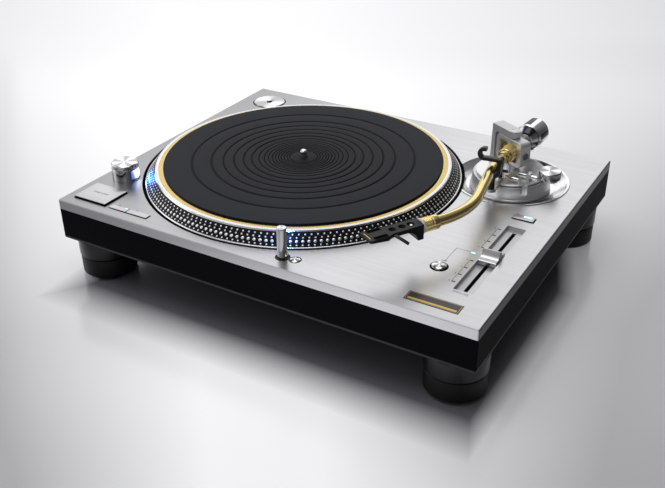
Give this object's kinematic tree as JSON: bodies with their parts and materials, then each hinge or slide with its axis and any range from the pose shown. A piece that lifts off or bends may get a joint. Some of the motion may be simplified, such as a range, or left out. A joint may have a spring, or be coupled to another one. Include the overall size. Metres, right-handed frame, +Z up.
{
  "type": "turntable",
  "caption": "Direct-drive turntable with a grooved platter mat, dotted platter rim, gold S-shaped tonearm, pitch slider and levelling feet.",
  "frame": {"origin": "on the surface that the feet stand on, at the middle of the whole width and depth", "axes": "+X to the right seen from the front, +Y to the back, +Z up"},
  "size_m": [0.453, 0.372, 0.1405],
  "materials": {
    "brushed_plate": "fine brushed along the width, satin",
    "black_cabinet": "satin black",
    "dark_screws": "dark steel",
    "foot_gloss": "gloss black",
    "foot_black": "satin black",
    "black_plastic": "moulded black",
    "gold_plate": "gold plated",
    "circuit_board": "board green",
    "satin_button": "satin",
    "spun_metal": "spun, bright",
    "blue_lens": "lit blue white",
    "bright_chrome": "polished",
    "plaque_black": "black with a gold border",
    "platter_metal": "polished lip and bead, black dotted band",
    "brass_ring": "satin brass",
    "mat_rubber": "matt rubber",
    "rotor_steel": "plain steel",
    "polished_dish": "polished",
    "satin_ring": "satin machined",
    "satin_yoke": "fine blasted satin",
    "gold_arm": "gold finish, polished",
    "gold_collar": "gold finish, ribbed",
    "black_headshell": "satin black"
  },
  "bodies": {
    "deck": {"top_plate": "brushed_plate", "cabinet": "black_cabinet", "base_cover": "black_cabinet", "base_screws": "dark_screws", "foot_collars": "foot_gloss", "hinge_sockets": "black_plastic", "mains_inlet": "black_plastic", "terminal_panel": "black_plastic", "rear_terminals": "gold_plate", "power_supply": "circuit_board", "control_board": "circuit_board", "strobe_housing": "spun_metal", "strobe_lens": "blue_lens", "lamp_sleeve": "black_plastic", "slider_well": "satin_button", "plaque": "plaque_black", "bearing_housing": "brass_ring", "stator": "circuit_board", "arm_dish": "polished_dish"},
    "platter": {"platter": "platter_metal", "platter_top_ring": "brass_ring", "platter_mat": "mat_rubber", "platter_damper": "mat_rubber", "rotor_yoke": "rotor_steel", "rotor_magnet": "rotor_steel", "spindle": "bright_chrome"},
    "start_button": {"start_button": "satin_button"},
    "button_33": {"speed_button_33": "satin_button"},
    "button_45": {"speed_button_45": "satin_button"},
    "double_speed": {"double_speed_button": "satin_button"},
    "reset": {"reset_button": "spun_metal"},
    "lamp_release": {"lamp_release_button": "spun_metal"},
    "power_knob": {"power_knob": "spun_metal"},
    "target_lamp": {"target_lamp": "spun_metal"},
    "pitch_slider": {"slider_knob": "bright_chrome"},
    "record_adapter": {"record_adapter": "spun_metal"},
    "foot_front_left": {"foot_front_left": "foot_black"},
    "foot_front_right": {"foot_front_right": "foot_black"},
    "foot_back_left": {"foot_back_left": "foot_black"},
    "foot_back_right": {"foot_back_right": "foot_black"},
    "height_ring": {"height_ring": "satin_ring"},
    "height_lock": {"height_lock": "satin_ring"},
    "arm_platform": {"arm_platform": "satin_ring", "yoke": "satin_yoke", "gimbal_pivots": "bright_chrome", "arm_rest": "black_plastic"},
    "anti_skate_dial": {"anti_skate_dial": "spun_metal"},
    "cue_lever": {"cue_lever": "bright_chrome"},
    "cue_lift": {"cue_lift": "black_plastic"},
    "rest_clamp": {"rest_clamp": "black_plastic"},
    "gimbal": {"gimbal_ring": "satin_yoke", "bearing_screws": "dark_screws"},
    "arm": {"arm_housing": "gold_arm", "arm_tube": "gold_arm", "weight_stub": "satin_ring", "headshell": "black_headshell"},
    "locking_collar": {"locking_collar": "gold_collar"},
    "weight_sleeve": {"weight_sleeve": "satin_ring"},
    "counterweight": {"counterweight": "bright_chrome"},
    "force_dial": {"force_dial": "satin_ring"}
  },
  "joints": [
    {"name": "platter_spin", "type": "hinge", "parent": "deck", "child": "platter", "pos_m": [-0.0485, -0.0062, 0.0861], "axis": [0, 0, 1], "continuous": true},
    {"name": "start_press", "type": "slide", "parent": "deck", "child": "start_button", "axis": [0, 0, -1], "range_m": [0, 0.0015], "stiffness_N_per_m": 400, "springref_m": -0.003},
    {"name": "press_33", "type": "slide", "parent": "deck", "child": "button_33", "axis": [0, 0, -1], "range_m": [0, 0.0015], "stiffness_N_per_m": 300, "springref_m": -0.003},
    {"name": "press_45", "type": "slide", "parent": "deck", "child": "button_45", "axis": [0, 0, -1], "range_m": [0, 0.0015], "stiffness_N_per_m": 300, "springref_m": -0.003},
    {"name": "double_press", "type": "slide", "parent": "deck", "child": "double_speed", "axis": [0, 0, -1], "range_m": [0, 0.0015], "stiffness_N_per_m": 300, "springref_m": -0.003},
    {"name": "reset_press", "type": "slide", "parent": "deck", "child": "reset", "axis": [0, 0, -1], "range_m": [0, 0.0015], "stiffness_N_per_m": 300, "springref_m": -0.003},
    {"name": "release_press", "type": "slide", "parent": "deck", "child": "lamp_release", "axis": [0, 0, -1], "range_m": [0, 0.0015], "stiffness_N_per_m": 300, "springref_m": -0.003},
    {"name": "power_turn", "type": "hinge", "parent": "deck", "child": "power_knob", "pos_m": [-0.2016, -0.1126, 0.0961], "axis": [0, 0, 1], "range_deg": [-45, 0]},
    {"name": "lamp_slide", "type": "slide", "parent": "deck", "child": "target_lamp", "axis": [0, 0, -1], "range_m": [0, 0.0275], "stiffness_N_per_m": 8, "springref_m": -0.02},
    {"name": "pitch_slide", "type": "slide", "parent": "deck", "child": "pitch_slider", "axis": [0, 1, 0], "range_m": [-0.0519, 0.0519]},
    {"name": "adapter_lift", "type": "slide", "parent": "deck", "child": "record_adapter", "axis": [0, 0, 1], "range_m": [0, 0.03]},
    {"name": "foot_turn_front_left", "type": "hinge", "parent": "deck", "child": "foot_front_left", "pos_m": [-0.1976, -0.1565, 0.0261], "axis": [0, 0, 1], "range_deg": [-360, 360]},
    {"name": "foot_turn_front_right", "type": "hinge", "parent": "deck", "child": "foot_front_right", "pos_m": [0.1976, -0.1565, 0.0261], "axis": [0, 0, 1], "range_deg": [-360, 360]},
    {"name": "foot_turn_back_left", "type": "hinge", "parent": "deck", "child": "foot_back_left", "pos_m": [-0.1976, 0.14, 0.0261], "axis": [0, 0, 1], "range_deg": [-360, 360]},
    {"name": "foot_turn_back_right", "type": "hinge", "parent": "deck", "child": "foot_back_right", "pos_m": [0.1976, 0.14, 0.0261], "axis": [0, 0, 1], "range_deg": [-360, 360]},
    {"name": "height_turn", "type": "hinge", "parent": "deck", "child": "height_ring", "pos_m": [0.1494, 0.0791, 0.0861], "axis": [0, 0, 1], "range_deg": [0, 270]},
    {"name": "platform_raise", "type": "slide", "parent": "deck", "child": "arm_platform", "axis": [0, 0, 1], "range_m": [0, 0.006]},
    {"name": "lock_turn", "type": "hinge", "parent": "deck", "child": "height_lock", "pos_m": [0.14115, 0.12588, 0.0861], "axis": [0, 0, 1], "range_deg": [-60, 0]},
    {"name": "anti_skate_turn", "type": "hinge", "parent": "arm_platform", "child": "anti_skate_dial", "pos_m": [0.1899, 0.0791, 0.1001], "axis": [0, 0, 1], "range_deg": [0, 270]},
    {"name": "cue_turn", "type": "hinge", "parent": "arm_platform", "child": "cue_lever", "pos_m": [0.1544, 0.0676, 0.1003], "axis": [-0.9954, 0.096, 0], "range_deg": [0, 45]},
    {"name": "cue_raise", "type": "slide", "parent": "arm_platform", "child": "cue_lift", "axis": [0, 0, 1], "range_m": [0, 0.0054], "stiffness_N_per_m": 0.1, "springref_m": 0.0275},
    {"name": "clamp_turn", "type": "hinge", "parent": "arm_platform", "child": "rest_clamp", "pos_m": [0.15529, 0.02879, 0.1286], "axis": [-0.0834, 0.9965, 0], "range_deg": [0, 95]},
    {"name": "arm_yaw", "type": "hinge", "parent": "arm_platform", "child": "gimbal", "pos_m": [0.1494, 0.0791, 0.1187], "axis": [0, 0, 1], "range_deg": [-46, 0]},
    {"name": "arm_pitch", "type": "hinge", "parent": "gimbal", "child": "arm", "pos_m": [0.1494, 0.0791, 0.1187], "axis": [-0.866, 0.5, 0], "range_deg": [0, 3]},
    {"name": "collar_turn", "type": "hinge", "parent": "arm", "child": "locking_collar", "pos_m": [0.13833, -0.10992, 0.1187], "axis": [-0.5, -0.866, 0], "range_deg": [0, 60]},
    {"name": "weight_slide", "type": "slide", "parent": "arm", "child": "weight_sleeve", "axis": [0.0537, 0.9986, 0], "range_m": [-0.0041, 0.0041]},
    {"name": "weight_turn", "type": "hinge", "parent": "weight_sleeve", "child": "counterweight", "pos_m": [0.15198, 0.12703, 0.1187], "axis": [0.0537, 0.9986, 0], "range_deg": [-720, 720]},
    {"name": "force_dial_turn", "type": "hinge", "parent": "weight_sleeve", "child": "force_dial", "pos_m": [0.15123, 0.11305, 0.1187], "axis": [0.0537, 0.9986, 0], "range_deg": [-180, 180]}
  ],
  "couplings": [
    {"joint": "platform_raise", "follows": "height_turn", "m_per_rad": 0.0012732},
    {"joint": "cue_raise", "follows": "cue_turn", "m_per_rad": 0.0068755},
    {"joint": "weight_slide", "follows": "weight_turn", "m_per_rad": 0.00031831}
  ]
}
